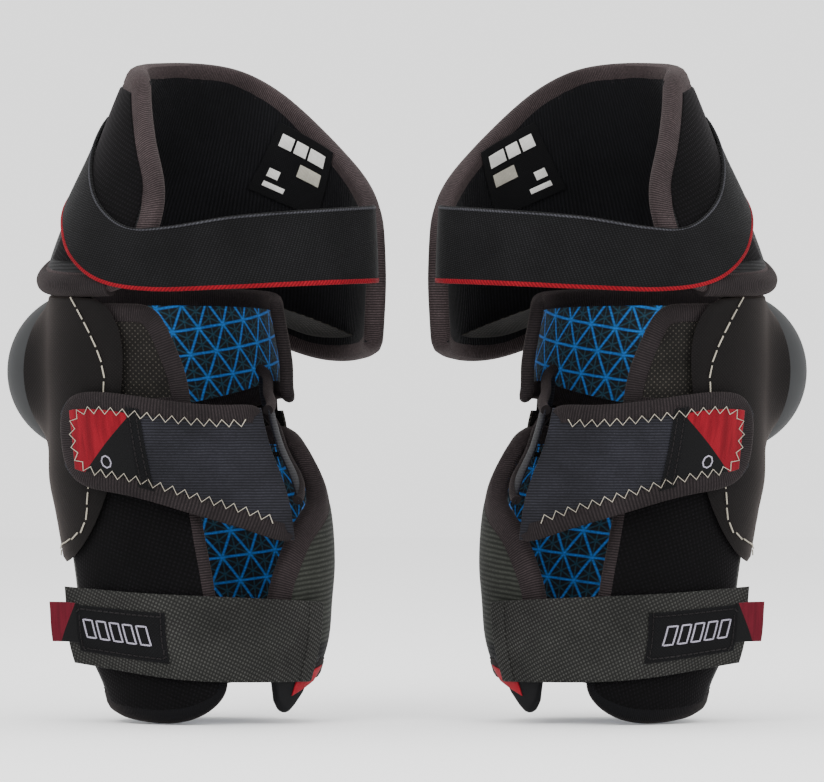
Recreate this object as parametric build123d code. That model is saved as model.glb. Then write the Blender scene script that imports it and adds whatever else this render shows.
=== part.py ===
from build123d import *
import math
import os

# A pair of ice-hockey elbow pads, standing upright with the crook of the elbow to the front.
# +X runs from the left pad to the right pad, -Y is the crook side, +Z goes up the arm.
# The origin is halfway between the pads, at the height of the elbow axis.
# Millimetres and degrees. The left pad is modelled; the right pad is its mirror image.

PAD_OFFSET = 140.0          # elbow axis of each pad, from the middle plane

# The arm hole of each guard is an ellipse at every height:
# height, left edge, right edge, half depth, centre y.
UPPER_ARM = [
    (175.0, -17.0, 118.0, 55.0, 2.0),
    (152.0, -27.0, 120.0, 58.0, 3.0),
    (120.0, -40.0, 122.0, 62.0, 4.0),
    (88.0, -55.0, 125.0, 67.0, 5.0),
    (48.0, -70.0, 127.0, 72.0, 5.0),
    (20.0, -76.0, 126.0, 75.0, 5.0),
    (-5.0, -80.0, 124.0, 76.0, 5.0),
]
LOWER_ARM = [
    (45.0, -60.0, 65.0, 54.0, 0.0),
    (33.0, -62.0, 67.0, 55.0, 0.0),
    (-2.0, -65.0, 73.0, 55.0, 0.0),
    (-22.0, -64.0, 74.0, 55.0, 0.0),
    (-50.0, -62.0, 81.0, 54.0, 0.0),
    (-71.0, -61.5, 91.0, 53.0, 0.0),
    (-89.0, -58.0, 96.0, 52.0, 0.0),
    (-118.0, -53.0, 98.0, 50.0, 0.0),
    (-141.0, -50.0, 96.5, 49.0, 0.0),
    (-164.0, -47.0, 94.5, 48.0, 0.0),
    (-190.0, -36.0, 87.0, 46.0, 0.0),
    (-212.0, -30.0, 82.0, 44.0, 0.0),
]

# The hard cap over the point of the elbow: part of a ball.
CAP_ANGLE = 136.0           # direction of the elbow point round the arm
CAP_CENTRE = (-45.0, 35.0, -8.0)
CAP_RADIUS = 45.0
CAP_THICK = 3.4
CAP_RIM = 10.0              # the rim lies this far out from the ball's centre
COVER_GAP = 2.5             # the cover floats this far off the sleeve
COVER_THICK = 3.5

BICEP_WALL = 10.0
FOREARM_WALL = 10.0
SLEEVE_WALL = 6.0
EDGE_TAPE = 6.0             # how far each edge tape reaches in from its edge
SKIN_GAP = 0.3              # clearance between stacked layers
TAPE_GAP = 1.5              # clearance between lengths of edge tape
TAPE_CLEAR = 1.0            # clearance between the layers and the edge tape round them

SURFACE_TOLERANCE = 0.01


def smooth(rows, t):
    """Height at t of a smooth curve through rows of (t, height)."""
    rows = sorted(rows)
    if t <= rows[0][0]:
        return rows[0][1]
    if t >= rows[-1][0]:
        return rows[-1][1]
    i = max(j for j in range(len(rows) - 1) if rows[j][0] <= t)

    def slope(j):
        before, after = rows[max(j - 1, 0)], rows[min(j + 1, len(rows) - 1)]
        return (after[1] - before[1]) / (after[0] - before[0])

    step = rows[i + 1][0] - rows[i][0]
    s = (t - rows[i][0]) / step
    start = (1 + 2 * s) * (1 - s) ** 2 * rows[i][1] + s * (1 - s) ** 2 * step * slope(i)
    end = s * s * (3 - 2 * s) * rows[i + 1][1] - s * s * (1 - s) * step * slope(i + 1)
    return start + end


def arm_point(arm, height, angle, off):
    """Point at an angle round the arm, off millimetres outside its ellipse."""
    left, right, depth, middle_y = (smooth([(r[0], r[k]) for r in arm], height) for k in (1, 2, 3, 4))
    half = (right - left) / 2
    c, s = math.cos(math.radians(angle)), math.sin(math.radians(angle))
    length = math.hypot(depth * c, half * s)
    return (
        (left + right) / 2 + half * c + off * depth * c / length,
        middle_y + depth * s + off * half * s / length,
        height,
    )


def slab(outer, inner, columns=12, rows=8):
    """Closed solid between two surfaces, each a function of (u, v) from 0 to 1."""
    faces = []
    for surface in (outer, inner):
        grid = [[surface(i / columns, j / rows) for j in range(rows + 1)] for i in range(columns + 1)]
        faces.append(Face.make_surface_from_array_of_points(grid, tol=SURFACE_TOLERANCE))
    sides = []
    for u, v in ((0, 0.5), (1, 0.5), (0.5, 0), (0.5, 1)):
        pair = []
        for face, surface in zip(faces, (outer, inner)):
            middle = Vector(*surface(u, v))
            pair.append(min(face.edges(), key=lambda edge: edge.distance_to(middle)))
        sides.append(Face.make_surface_from_curves(pair[0], pair[1]))
    return Solid(Shell(faces + sides))


class Panel:
    """A curved panel round the arm: u runs from its far edge to its near edge, v upwards."""

    def __init__(self, arm, far, near, bottom, top, width):
        self.arm = arm
        self.far = far
        self.near = near
        self.bottom = bottom
        self.top = top
        self.width = width

    def place(self, u, v):
        """Angle round the arm and height at (u, v)."""
        angle = smooth(self.far, v) * (1 - u) + smooth(self.near, v) * u
        height = smooth(self.bottom, u) * (1 - v) + smooth(self.top, u) * v
        return angle, height

    def spot(self, u, v, off):
        angle, height = self.place(u, v)
        return arm_point(self.arm, height, angle, off)

    def tall(self, u):
        return smooth(self.top, u) - smooth(self.bottom, u)

    def solid(self, place, low, high, columns, rows):
        """Solid between two offsets over the part of the panel that place picks out."""
        def surface(off):
            def at(u, v):
                angle, height = self.place(*place(u, v))
                return arm_point(self.arm, height, angle, off)
            return at
        return slab(surface(high), surface(low), columns, rows)

    def layer(self, low, high, margin=0.0, columns=28, rows=12):
        """Solid between two offsets, its outline drawn in by the margin on every side."""
        def place(u, v):
            u = margin / self.width + u * (1 - 2 * margin / self.width)
            inset = margin / self.tall(u)
            return u, inset + v * (1 - 2 * inset)
        return self.solid(place, low, high, columns, rows)

    def window(self, u_range, v_range, low, high, columns=10, rows=8):
        """Solid between two offsets over part of the panel."""
        def place(u, v):
            return (u_range[0] + u * (u_range[1] - u_range[0]),
                    v_range[0] + v * (v_range[1] - v_range[0]))
        return self.solid(place, low, high, columns, rows)

    def edge_tape(self, low, high):
        """Tape folded over the whole edge of the panel: two ends, a bottom and a top length."""
        end = EDGE_TAPE / self.width
        start = (EDGE_TAPE + TAPE_GAP) / self.width

        def along(u):
            return start + u * (1 - 2 * start)

        def reach(u):
            return EDGE_TAPE / self.tall(along(u))
        return Compound(children=[
            self.solid(lambda u, v: (u * end, v), low, high, 3, 12),
            self.solid(lambda u, v: (1 - u * end, v), low, high, 3, 12),
            self.solid(lambda u, v: (along(u), v * reach(u)), low, high, 28, 3),
            self.solid(lambda u, v: (along(u), 1 - v * reach(u)), low, high, 28, 3),
        ])


BICEP = Panel(
    UPPER_ARM,
    far=[(0, -4), (1, -4)],
    near=[(0, 241), (0.15, 246), (0.38, 248), (0.5, 245), (0.62, 237), (0.82, 223), (1, 208)],
    bottom=[(0, 5), (0.08, 0), (0.16, -2.5), (0.24, 1), (0.38, 24), (0.46, 44), (0.56, 57),
            (0.66, 53), (0.76, 42), (0.88, 37), (1, 36)],
    top=[(0, 74), (0.1, 100), (0.25, 132), (0.36, 155), (0.47, 169), (0.585, 173), (0.73, 172),
         (0.88, 169), (1, 163)],
    width=370.0,
)
SLEEVE = Panel(
    LOWER_ARM,
    far=[(0, -8), (1, -12)],
    near=[(0, 280), (0.3, 279), (0.6, 274), (0.9, 267), (1, 262)],
    bottom=[(0, -28), (0.06, -25), (0.12, -24), (0.18, -28), (0.34, -38), (0.5, -41),
            (0.65, -40), (0.81, -37), (1, -33)],
    top=[(0, 34), (0.1, 38), (0.34, 41), (0.5, 40), (0.65, 34), (0.8, 31), (1, 30)],
    width=320.0,
)
COVER = Panel(
    LOWER_ARM,
    far=[(0, 42), (1, 30)],
    near=[(0, 222), (0.2, 236), (0.45, 244), (0.7, 249), (0.88, 247), (1, 238)],
    bottom=[(0, -62), (0.2, -84), (0.45, -108), (0.7, -117), (0.84, -118), (0.93, -111), (1, -98)],
    top=[(0, 30), (0.5, 38), (0.8, 35), (1, 33)],
    width=230.0,
)
FOREARM = Panel(
    LOWER_ARM,
    far=[(0, -55), (0.2, -58), (0.4, -57), (0.58, -48), (0.685, -38), (0.79, -18), (0.9, -6), (1, 0)],
    near=[(0, 283), (0.37, 276), (0.56, 273), (0.72, 272), (1, 270)],
    bottom=[(0, -184), (0.1, -187), (0.3, -187), (0.43, -193), (0.57, -205), (0.7, -204),
            (0.8, -209), (0.91, -210), (0.97, -203), (1, -192)],
    top=[(0, -52), (0.085, -40), (0.17, -41), (0.33, -48), (0.5, -51),
         (0.66, -51), (0.83, -48), (1, -46)],
    width=330.0,
)
BICEP_STRAP = Panel(
    UPPER_ARM,
    far=[(0, 349), (1, 349)],
    near=[(0, 172), (1, 172)],
    bottom=[(0, 43), (0.2, 41), (0.42, 38), (0.55, 37), (0.66, 42), (0.76, 56), (0.86, 75), (1, 96)],
    top=[(0, 88), (0.2, 85), (0.42, 80), (0.55, 74), (0.63, 74), (0.72, 86), (0.83, 108), (1, 140)],
    width=290.0,
)
ELBOW_STRAP = Panel(
    LOWER_ARM,
    far=[(0, 312), (1, 312)],
    near=[(0, 214), (1, 214)],
    bottom=[(0, -108), (0.07, -107), (0.22, -99), (0.43, -90), (0.6, -82), (0.73, -77.5),
            (0.86, -76), (0.92, -73), (0.97, -67), (1, -59)],
    top=[(0, -26), (0.07, -27), (0.22, -28), (0.43, -25.5), (0.6, -22), (0.73, -20),
         (0.86, -20), (0.92, -22), (0.97, -28), (1, -36)],
    width=145.0,
)

ELBOW_STRAP_OFF = 10.0      # the elbow strap passes this far outside the sleeve
FOREARM_STRAP_LEAVES = 238.0    # angle at which the forearm strap runs off straight
FOREARM_STRAP_SEWN = 332.0
FOREARM_STRAP_RUN = 42.0    # length of the straight end
WEBBING = 2.0


def bicep_parts():
    wall = BICEP_WALL
    liner = BICEP.layer(-wall + 0.6, -wall + 1.6, EDGE_TAPE + TAPE_CLEAR)
    cover = BICEP.layer(-1.6, -0.5, EDGE_TAPE + TAPE_CLEAR)
    insert = BICEP.window((0.3, 0.72), (0.2, 0.85), -4.2, -2.2)
    foam = BICEP.layer(-wall + 1.6 + SKIN_GAP, -1.6 - SKIN_GAP, EDGE_TAPE + TAPE_CLEAR)
    foam -= BICEP.window((0.298, 0.722), (0.19, 0.86), -4.2 - SKIN_GAP, 2.0)
    return {
        "bicep_liner": liner,
        "bicep_foam": foam,
        "bicep_insert": insert,
        "bicep_cover": cover,
        "bicep_binding": BICEP.edge_tape(-wall, 0.0),
        "bicep_loop_patch": BICEP.window((0.82, 0.96), (0.14, 0.9), 0.0, 1.0),
        "bicep_label": label(),
    }


def label():
    """Square label sewn to the liner, tilted."""
    wide, high, angle_at, height_at, tilt = 44.0, 36.0, 61.0, 110.0, math.radians(-25)
    radius = 78.0

    def surface(off):
        def at(u, v):
            across, up = wide * (u - 0.5), high * (v - 0.5)
            along = across * math.cos(tilt) - up * math.sin(tilt)
            rise = across * math.sin(tilt) + up * math.cos(tilt)
            return arm_point(UPPER_ARM, height_at + rise, angle_at - math.degrees(along / radius), off)
        return at
    inside = -BICEP_WALL + 0.6 - SKIN_GAP
    return slab(surface(inside), surface(inside - 0.5), 4, 4)


def bicep_strap_parts():
    def surface(off):
        def at(u, v):
            tucked_in = max(0.0, 1 - u / 0.12)
            return BICEP_STRAP.spot(u, v, off - 6.0 * tucked_in ** 2)
        return at
    band = slab(surface(3.8), surface(2.2), 24, 6)
    hook = BICEP_STRAP.window((0.84, 0.985), (0.12, 0.88), 1.3, 2.2 - SKIN_GAP)
    return {"bicep_strap_band": band, "bicep_strap_hook": hook}


def cap_ball(radius, rim):
    """The part of a ball that lies beyond the plane of the cap's rim."""
    facing = Plane(
        origin=CAP_CENTRE,
        z_dir=(math.cos(math.radians(CAP_ANGLE)), math.sin(math.radians(CAP_ANGLE)), 0),
    )
    keep = Pos(0, 0, rim + radius) * Box(3 * radius, 3 * radius, 2 * radius)
    return facing * (Sphere(radius) & keep)


def elbow_parts():
    wall = SLEEVE_WALL
    margin = EDGE_TAPE + TAPE_CLEAR
    hollow = CAP_RADIUS - CAP_THICK
    return {
        "elbow_cap": cap_ball(CAP_RADIUS, CAP_RIM) - cap_ball(hollow, CAP_RIM - 1),
        "cap_foam": cap_ball(hollow - SKIN_GAP, CAP_RIM + SKIN_GAP),
        "cap_cover": COVER.layer(COVER_GAP, COVER_GAP + COVER_THICK),
        "sleeve_mesh": SLEEVE.layer(-wall + 1.6 + SKIN_GAP, -0.4, margin),
        "sleeve_liner": SLEEVE.layer(-wall + 0.5, -wall + 1.6, margin),
        "sleeve_binding": SLEEVE.edge_tape(-wall, 0.0),
    }


def end_guard():
    """Rounded plastic-backed flap under the outer edge of the forearm guard."""
    flap = Panel(
        LOWER_ARM, far=[(0, -46), (1, -56)], near=[(0, -26), (1, -16)],
        bottom=[(0, -201), (0.5, -206), (1, -200)], top=[(0, -188), (1, -188)], width=30.0,
    )
    return flap.layer(-7.0, -1.5, 0, 6, 4)


def forearm_parts():
    wall = FOREARM_WALL
    margin = EDGE_TAPE + TAPE_CLEAR
    foam = FOREARM.layer(-wall + 1.6 + SKIN_GAP, -1.6 - SKIN_GAP, margin)
    foam -= FOREARM.window((0.298, 0.742), (0.09, 0.91), -4.2 - SKIN_GAP, 2.0)
    return {
        "forearm_liner": FOREARM.layer(-wall + 0.6, -wall + 1.6, margin),
        "forearm_foam": foam,
        "forearm_shell": FOREARM.window((0.3, 0.74), (0.1, 0.9), -4.2, -2.2),
        "forearm_cover": FOREARM.layer(-1.6, -0.5, margin),
        "forearm_binding": FOREARM.edge_tape(-wall, 0.0),
        "forearm_loop_panel": FOREARM.window((0.76, 0.97), (0.06, 0.95), 0.2, 1.2, 16, 14),
        "forearm_end_guard": end_guard(),
    }


def elbow_strap_parts():
    low, high = ELBOW_STRAP_OFF, ELBOW_STRAP_OFF + WEBBING
    inside = Panel(
        LOWER_ARM, far=[(0, 30), (1, 30)], near=[(0, -42), (1, -42)],
        bottom=[(0, -32), (0.4, -48), (1, -84)], top=[(0, -6), (0.5, -16), (1, -29)], width=80.0,
    )

    def anchor_surface(thickness):
        def at(u, v):
            reach_out = smooth([(0, -12.5), (0.62, -12.5), (1, 4.0)], u)
            return inside.spot(u, v, reach_out + thickness)
        return at
    return {
        "elbow_strap_band": ELBOW_STRAP.layer(low, high, 0, 14, 6),
        "elbow_strap_tab": ELBOW_STRAP.window((0.62, 0.94), (0.12, 0.88), high + SKIN_GAP, high + 0.9),
        "elbow_strap_hook": ELBOW_STRAP.window((0.72, 0.96), (0.14, 0.86), low - 1.2, low - SKIN_GAP),
        "elbow_strap_anchor": slab(anchor_surface(WEBBING / 2), anchor_surface(-WEBBING / 2), 10, 4),
    }


def forearm_strap_spot(u, height, off):
    """Point on the forearm strap: round the guard first, then straight off it."""
    turn = FOREARM_STRAP_SEWN - FOREARM_STRAP_LEAVES
    round_share = 0.72
    if u <= round_share:
        return arm_point(LOWER_ARM, height, FOREARM_STRAP_SEWN - turn * u / round_share, off)
    start = arm_point(LOWER_ARM, height, FOREARM_STRAP_LEAVES, off)
    before = arm_point(LOWER_ARM, height, FOREARM_STRAP_LEAVES + 1, off)
    length = math.hypot(start[0] - before[0], start[1] - before[1])
    run = FOREARM_STRAP_RUN * (u - round_share) / (1 - round_share) / length
    return (start[0] + (start[0] - before[0]) * run, start[1] + (start[1] - before[1]) * run, height)


def forearm_strap_layer(u_range, down_range, low, high, columns=12):
    """Layer of the forearm strap: down runs from 0 at its top edge to 1 at its bottom edge."""
    top = [(0, -141), (0.3, -138), (0.7, -135), (1, -132)]
    tall = [(0, 46), (0.5, 49), (1, 44)]

    def surface(off):
        def at(u, v):
            u = u_range[0] + u * (u_range[1] - u_range[0])
            down = down_range[1] + v * (down_range[0] - down_range[1])
            return forearm_strap_spot(u, smooth(top, u) - down * smooth(tall, u), off)
        return at
    return slab(surface(high), surface(low), columns, 4)


def forearm_strap_parts():
    low, high = 2.8, 2.8 + WEBBING
    return {
        "forearm_strap_webbing": forearm_strap_layer((0, 1), (0, 1), low, high, 16),
        "forearm_strap_patch": forearm_strap_layer((0.6, 0.95), (0.22, 0.82), high + SKIN_GAP, high + 1.0),
        "forearm_strap_pull": forearm_strap_layer((0.955, 1.06), (0.2, 0.72), high + SKIN_GAP, high + 1.4, 4),
        "forearm_strap_hook": forearm_strap_layer((0.66, 0.93), (0.12, 0.88), low - 1.2, low - SKIN_GAP),
    }


os.makedirs("parts", exist_ok=True)
left_pad = {}
for make in (bicep_parts, bicep_strap_parts, elbow_parts, forearm_parts, elbow_strap_parts,
             forearm_strap_parts):
    left_pad.update(make())
for name, shape in left_pad.items():
    placed = Pos(-PAD_OFFSET, 0, 0) * shape
    export_step(placed, f"parts/left_{name}.step")
    export_step(mirror(placed, about=Plane.YZ), f"parts/right_{name}.step")
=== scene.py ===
# %% [markdown]
# # A pair of ice-hockey elbow pads
# Each pad is a soft guard for one arm: a cuff for the upper arm, a stretch sleeve with a domed
# cap over the elbow, a cuff for the forearm, and three straps. This lesson dresses a fixed CAD
# frame with cloth. The frame comes in first, and its size is kept, because the cloth must not
# make the pads any bigger.

# %% Load the frame
import math
import bpy
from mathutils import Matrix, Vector


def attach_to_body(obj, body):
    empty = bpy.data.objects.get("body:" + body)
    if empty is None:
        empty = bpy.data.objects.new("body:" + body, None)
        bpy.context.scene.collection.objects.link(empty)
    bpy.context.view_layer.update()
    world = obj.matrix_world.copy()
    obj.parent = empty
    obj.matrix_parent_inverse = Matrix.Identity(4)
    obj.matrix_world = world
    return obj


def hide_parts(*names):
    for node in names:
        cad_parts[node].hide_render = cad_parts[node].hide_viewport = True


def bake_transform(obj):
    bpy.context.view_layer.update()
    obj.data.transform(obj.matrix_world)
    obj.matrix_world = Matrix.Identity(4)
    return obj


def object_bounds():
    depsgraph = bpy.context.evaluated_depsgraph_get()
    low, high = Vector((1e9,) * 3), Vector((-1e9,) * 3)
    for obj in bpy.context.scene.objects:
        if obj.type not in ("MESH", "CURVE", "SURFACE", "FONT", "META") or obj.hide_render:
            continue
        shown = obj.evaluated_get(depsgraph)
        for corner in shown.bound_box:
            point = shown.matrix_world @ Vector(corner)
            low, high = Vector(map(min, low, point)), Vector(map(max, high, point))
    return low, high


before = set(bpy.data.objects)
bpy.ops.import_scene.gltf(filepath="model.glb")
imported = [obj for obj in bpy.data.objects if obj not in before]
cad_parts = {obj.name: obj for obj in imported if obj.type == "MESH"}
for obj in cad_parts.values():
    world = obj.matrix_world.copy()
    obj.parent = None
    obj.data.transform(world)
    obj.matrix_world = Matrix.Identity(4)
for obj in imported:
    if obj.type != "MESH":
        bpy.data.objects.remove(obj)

frame_box = [list(corner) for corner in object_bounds()]

# %% [markdown]
# ## Camera
# The pads are seen from the crook of the elbow, level with them and from far off, so a long lens
# keeps the two pads free of perspective stretch. The camera is made first, so every later step
# can be checked by eye.

# %% Camera
camera = bpy.data.objects.new("camera", bpy.data.cameras.new("camera"))
bpy.context.scene.collection.objects.link(camera)
bpy.context.scene.camera = camera
camera.data.lens = 241
camera.data.clip_end = 50
camera.location = (0.0029, -3.2, -0.0197)
camera.rotation_euler = (math.radians(90), 0, 0)
print("camera", tuple(camera.location), "lens", camera.data.lens)

# %% [markdown]
# ## Curves through a few numbers
# A pad's outline wanders: it rises over the arm and dips at the wings. A short table of heights
# with a smooth curve through it says that better than a long list of points, and a curve that
# never overshoots wildly keeps the cloth calm.

# %% Smooth curve
def smooth(rows, t):
    """Value at t of a smooth curve through rows of (t, value)."""
    rows = sorted(rows)
    if t <= rows[0][0]:
        return rows[0][1]
    if t >= rows[-1][0]:
        return rows[-1][1]
    i = max(j for j in range(len(rows) - 1) if rows[j][0] <= t)

    def slope(j):
        before, after = rows[max(j - 1, 0)], rows[min(j + 1, len(rows) - 1)]
        return (after[1] - before[1]) / (after[0] - before[0])

    step = rows[i + 1][0] - rows[i][0]
    s = (t - rows[i][0]) / step
    start = (1 + 2 * s) * (1 - s) ** 2 * rows[i][1] + s * (1 - s) ** 2 * step * slope(i)
    end = s * s * (3 - 2 * s) * rows[i + 1][1] - s * s * (1 - s) * step * slope(i + 1)
    return start + end


print("halfway:", smooth([(0, 0), (1, 2)], 0.5))

# %% [markdown]
# ## The arm hole
# A guard wraps round an arm, so its shape is told by an angle round the arm, a height, and how far
# the cloth stands off. The tables give the hole at each height in millimetres: left edge,
# right edge, half depth and middle. They describe the left pad; the right one is its mirror image.

# %% Arm shapes
UPPER_ARM = [(175, -17, 118, 55, 2), (152, -27, 120, 58, 3), (120, -40, 122, 62, 4), (88, -55, 125, 67, 5),
             (48, -70, 127, 72, 5), (20, -76, 126, 75, 5), (-5, -80, 124, 76, 5)]
LOWER_ARM = [(45, -60, 65, 54, 0), (33, -62, 67, 55, 0), (-2, -65, 73, 55, 0), (-22, -64, 74, 55, 0),
             (-50, -62, 81, 54, 0), (-71, -61.5, 91, 53, 0), (-89, -58, 96, 52, 0), (-118, -53, 98, 50, 0),
             (-141, -50, 96.5, 49, 0), (-164, -47, 94.5, 48, 0), (-190, -36, 87, 46, 0),
             (-212, -30, 82, 44, 0)]
UPPER_REACH = 85.0      # mean radius, which turns an angle into millimetres of cloth
LOWER_REACH = 66.0


def hole(arm, height):
    """Centre across, half width, half depth and middle of the hole at a height."""
    left, right, depth, middle = (smooth([(r[0], r[k]) for r in arm], height) for k in (1, 2, 3, 4))
    return (left + right) / 2, (right - left) / 2, depth, middle


def arm_point(arm, height, angle, off):
    """Point at an angle round the arm, off millimetres outside its hole."""
    centre, half, depth, middle = hole(arm, height)
    c, s = math.cos(math.radians(angle)), math.sin(math.radians(angle))
    length = math.hypot(depth * c, half * s)
    return (centre + half * c + off * depth * c / length,
            middle + depth * s + off * half * s / length, height)


print("front of the elbow:", arm_point(LOWER_ARM, 0, 270, 0))

# %% [markdown]
# ## Panels
# A panel is one cut piece of the guard. It has a far and a near edge, given as angles, and a
# bottom and a top edge, given as heights. Two shares from 0 to 1 then name any spot on it, which
# makes it easy to lay linings, patches and stitches on the same piece.

# %% Panel
class Panel:
    def __init__(self, arm, reach, far, near, bottom, top, width):
        self.arm, self.reach, self.width = arm, reach, width
        self.far, self.near, self.bottom, self.top = far, near, bottom, top

    def place(self, u, v):
        """Angle and height at (u, v): u from the far to the near edge, v upwards."""
        angle = smooth(self.far, v) * (1 - u) + smooth(self.near, v) * u
        return angle, smooth(self.bottom, u) * (1 - v) + smooth(self.top, u) * v

    def spot(self, u, v, off):
        angle, height = self.place(u, v)
        return arm_point(self.arm, height, angle, off)

    def tall(self, u=0.5):
        return smooth(self.top, u) - smooth(self.bottom, u)

    def flat(self, u, v):
        """The spot on the cloth laid flat, in metres, for a weave to follow."""
        angle, height = self.place(u, v)
        return self.reach * math.radians(angle) / 1000, height / 1000

    def inset(self, margin):
        """Share of the panel that leaves a margin in millimetres on every side."""
        def place(u, v):
            u = margin / self.width + u * (1 - 2 * margin / self.width)
            edge = margin / self.tall(u)
            return u, edge + v * (1 - 2 * edge)
        return place


BICEP = Panel(UPPER_ARM, UPPER_REACH, [(0, -4)],
    [(0, 241), (0.15, 246), (0.38, 248), (0.5, 245), (0.62, 237), (0.82, 223), (1, 208)],
    [(0, 5), (0.08, 0), (0.16, -2.5), (0.24, 1), (0.38, 24), (0.46, 44), (0.56, 57), (0.66, 53),
     (0.76, 42), (0.88, 37), (1, 36)],
    [(0, 74), (0.1, 100), (0.25, 132), (0.36, 155), (0.47, 169), (0.585, 173), (0.73, 172),
     (0.88, 169), (1, 163)], 370)
SLEEVE = Panel(LOWER_ARM, LOWER_REACH, [(0, -8), (1, -12)],
    [(0, 280), (0.3, 279), (0.6, 274), (0.9, 267), (1, 262)],
    [(0, -28), (0.06, -25), (0.12, -24), (0.18, -28), (0.34, -38), (0.5, -41), (0.65, -40),
     (0.81, -37), (1, -33)],
    [(0, 34), (0.1, 38), (0.34, 41), (0.5, 40), (0.65, 34), (0.8, 31), (1, 30)], 320)
COVER = Panel(LOWER_ARM, LOWER_REACH, [(0, 42), (1, 30)],
    [(0, 222), (0.2, 236), (0.45, 244), (0.7, 249), (0.88, 247), (1, 238)],
    [(0, -62), (0.2, -84), (0.45, -108), (0.7, -117), (0.84, -118), (0.93, -111), (1, -98)],
    [(0, 30), (0.5, 38), (0.8, 35), (1, 33)], 230)
FOREARM = Panel(LOWER_ARM, LOWER_REACH,
    [(0, -55), (0.2, -58), (0.4, -57), (0.58, -48), (0.685, -38), (0.79, -18), (0.9, -6), (1, 0)],
    [(0, 283), (0.37, 276), (0.56, 273), (0.72, 272), (1, 270)],
    [(0, -184), (0.1, -187), (0.3, -187), (0.43, -193), (0.57, -205), (0.7, -204), (0.8, -209),
     (0.91, -210), (0.97, -203), (1, -192)],
    [(0, -52), (0.085, -40), (0.17, -41), (0.33, -48), (0.5, -51), (0.66, -51), (0.83, -48), (1, -46)], 330)
BICEP_STRAP = Panel(UPPER_ARM, UPPER_REACH, [(0, 349)], [(0, 172)],
    [(0, 43), (0.2, 41), (0.42, 38), (0.55, 37), (0.66, 42), (0.76, 56), (0.86, 75), (1, 96)],
    [(0, 88), (0.2, 85), (0.42, 80), (0.55, 74), (0.63, 74), (0.72, 86), (0.83, 108), (1, 140)], 290)
ELBOW_STRAP = Panel(LOWER_ARM, LOWER_REACH, [(0, 312)], [(0, 214)],
    [(0, -108), (0.07, -107), (0.22, -99), (0.43, -90), (0.6, -82), (0.73, -77.5), (0.86, -76),
     (0.92, -73), (0.97, -67), (1, -59)],
    [(0, -26), (0.07, -27), (0.22, -28), (0.43, -25.5), (0.6, -22), (0.73, -20), (0.86, -20),
     (0.92, -22), (0.97, -28), (1, -36)], 145)
END_FLAP = Panel(LOWER_ARM, LOWER_REACH, [(0, -47), (1, -58)], [(0, -27), (1, -14)],
    [(0, -198), (0.25, -203.5), (0.55, -204), (1, -194)], [(0, -172)], 42)
print("upper cuff is", BICEP.tall(), "mm tall at its middle")

# %% [markdown]
# ## Skins
# Most pieces here are bent slabs, tubes or folded tapes. All of them are rings of points joined
# in a row, so one function makes every skin. It also measures the closed volume and turns the
# faces round if they point inwards, and it stores the cloth's own flat coordinates.

# %% Skin
class Skin:
    def __init__(self):
        self.points, self.faces, self.flat, self.share = [], [], [], []


def skin(rings, flat, share, closed=False, cap="strip"):
    """Closed skin over rings of points; flat and share give two sets of cloth coordinates."""
    made, around = Skin(), len(rings[0])
    made.points = [p for ring in rings for p in ring]
    for i in range(len(rings) if closed else len(rings) - 1):
        for j in range(around):
            corners = [(i, j), (i + 1, j), (i + 1, j + 1), (i, j + 1)]
            made.faces.append([(a % len(rings)) * around + b % around for a, b in corners])
            made.flat.append([flat(a, b) for a, b in corners])
            made.share.append([share(a, b) for a, b in corners])
    if not closed:
        for i in (0, len(rings) - 1):
            half = around // 2
            strips = [[j, j + 1, around - 2 - j, around - 1 - j] for j in range(half - 1)]
            for strip in strips if cap == "strip" else [list(range(around))]:
                ordered = strip[::-1] if i else strip
                made.faces.append([i * around + j for j in ordered])
                made.flat.append([flat(i, j) for j in ordered])
                made.share.append([share(i, j) for j in ordered])
    volume = 0.0
    for face in made.faces:
        a = Vector(made.points[face[0]])
        for b, c in zip(face[1:-1], face[2:]):
            volume += a.dot(Vector(made.points[b]).cross(Vector(made.points[c])))
    if volume < 0:
        made.faces = [f[::-1] for f in made.faces]
        made.flat = [f[::-1] for f in made.flat]
        made.share = [f[::-1] for f in made.share]
    return made


def spread(count, end):
    """Shares from 0 to 1 with extra ones close to both ends, where edges turn over."""
    inner = [end + (1 - 2 * end) * i / count for i in range(count + 1)]
    return [0, end * 0.12, end * 0.45] + inner + [1 - end * 0.45, 1 - end * 0.12, 1]


def slab(spot, size, low, high, count, soft=1.5, crown=0.0, flat=None, quilt=None):
    """Layer of cloth or foam between two offsets, its rim rounded and its middle crowned."""
    flat = flat or (lambda u, v: (u * size[0] / 1000, v * size[1] / 1000))
    us, vs = spread(count[0], soft / size[0]), spread(count[1], soft / size[1])
    rings = []
    for u in us:
        outer, inner = [], []
        for v in vs:
            edge = min(u * size[0], (1 - u) * size[0], v * size[1], (1 - v) * size[1])
            turn = 0.25 + 0.75 * math.sqrt(max(0.0, 1 - (1 - min(edge / soft, 1)) ** 2))
            swell = crown * math.sqrt(max(0.0, 16 * u * (1 - u) * v * (1 - v)))
            if quilt:
                swell += quilt(u) * min(1, edge / 6)
            middle, half = (low + high) / 2, (high - low) / 2
            outer.append(spot(u, v, middle + half * turn + max(swell, 0)))
            inner.append(spot(u, v, middle - half * turn + min(swell, 0)))
        rings.append(outer + inner[::-1])

    def at(i, j):
        j = j % (2 * len(vs))
        return us[i], vs[j] if j < len(vs) else vs[2 * len(vs) - 1 - j]
    return skin(rings, lambda i, j: flat(*at(i, j)), at)


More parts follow.
